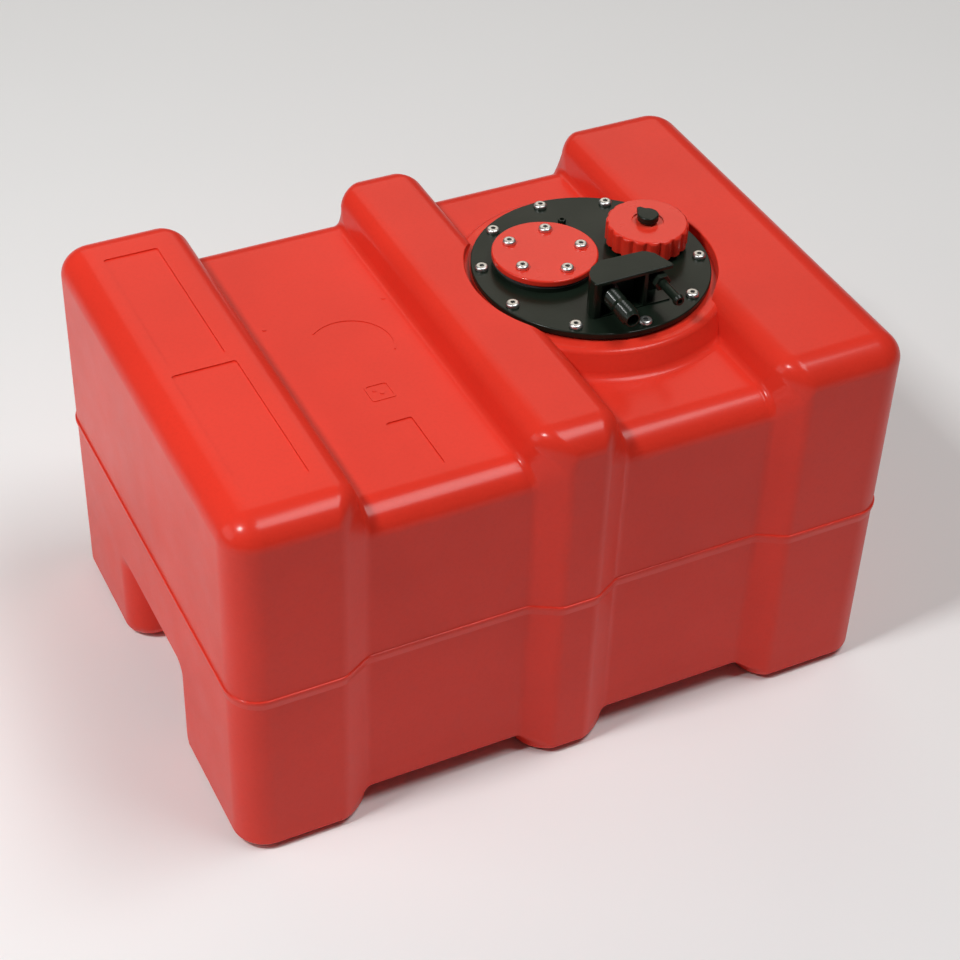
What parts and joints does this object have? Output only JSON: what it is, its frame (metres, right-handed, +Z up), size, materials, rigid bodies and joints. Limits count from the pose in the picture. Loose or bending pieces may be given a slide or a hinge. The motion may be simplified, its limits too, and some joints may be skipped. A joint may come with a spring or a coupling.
{
  "type": "fuel tank",
  "caption": "Moulded fuel tank with three raised bands, strap channels, hand grips and a round flange carrying a screw cap with a vent screw, a blanked sender hole and two hose tails.",
  "frame": {"origin": "centre of the bounding box's base, on the plane the tank stands on", "axes": "+X along the tank's length towards the end that carries the flange, +Y to the back, -Y to the front where the hose tails point, +Z up"},
  "size_m": [0.5016, 0.3516, 0.3196],
  "materials": {
    "red_polyethylene": "satin gloss moulded polyethylene",
    "black_nylon": "satin moulded nylon",
    "seal_rubber": "matt",
    "stainless_steel": "polished stainless steel",
    "brass": "machined",
    "strainer_plastic": "matt moulded plastic"
  },
  "bodies": {
    "tank": {"tank_body": "red_polyethylene", "flange_gasket": "seal_rubber", "flange_plate": "black_nylon", "flange_screw_01": "stainless_steel", "flange_screw_02": "stainless_steel", "flange_screw_03": "stainless_steel", "flange_screw_04": "stainless_steel", "flange_screw_05": "stainless_steel", "flange_screw_06": "stainless_steel", "flange_screw_07": "stainless_steel", "flange_screw_08": "stainless_steel", "flange_screw_09": "stainless_steel", "flange_screw_10": "stainless_steel", "flange_insert_01": "brass", "flange_insert_02": "brass", "flange_insert_03": "brass", "flange_insert_04": "brass", "flange_insert_05": "brass", "flange_insert_06": "brass", "flange_insert_07": "brass", "flange_insert_08": "brass", "flange_insert_09": "brass", "flange_insert_10": "brass", "sender_gasket": "seal_rubber", "sender_cover": "red_polyethylene", "cover_screw_01": "stainless_steel", "cover_screw_02": "stainless_steel", "cover_screw_03": "stainless_steel", "cover_screw_04": "stainless_steel", "cover_screw_05": "stainless_steel", "cover_insert_01": "brass", "cover_insert_02": "brass", "cover_insert_03": "brass", "cover_insert_04": "brass", "cover_insert_05": "brass", "breather_tail": "black_nylon", "breather_seal": "seal_rubber", "fuel_tail": "black_nylon", "fuel_seal": "seal_rubber", "pickup_tube": "black_nylon", "pickup_strainer": "strainer_plastic"},
    "cap_ring": {"cap_seal": "seal_rubber"},
    "cap": {"filler_cap": "red_polyethylene"},
    "vent_ring": {"vent_seal": "seal_rubber"},
    "vent": {"vent_screw": "black_nylon"}
  },
  "joints": [
    {"name": "cap_lift", "type": "slide", "parent": "tank", "child": "cap_ring", "axis": [0, 0, 1], "range_m": [0, 0.0151]},
    {"name": "cap_turn", "type": "hinge", "parent": "cap_ring", "child": "cap", "pos_m": [0.13882, 0.00598, 0.3], "axis": [0, 0, 1], "range_deg": [0, 1080]},
    {"name": "vent_lift", "type": "slide", "parent": "cap", "child": "vent_ring", "axis": [0, 0, 1], "range_m": [0, 0.00151]},
    {"name": "vent_turn", "type": "hinge", "parent": "vent_ring", "child": "vent", "pos_m": [0.13882, 0.00598, 0.3125], "axis": [0, 0, 1], "range_deg": [0, 540]}
  ],
  "couplings": [
    {"joint": "cap_lift", "follows": "cap_turn", "m_per_rad": 0.00079577},
    {"joint": "vent_lift", "follows": "vent_turn", "m_per_rad": 0.00015915}
  ]
}
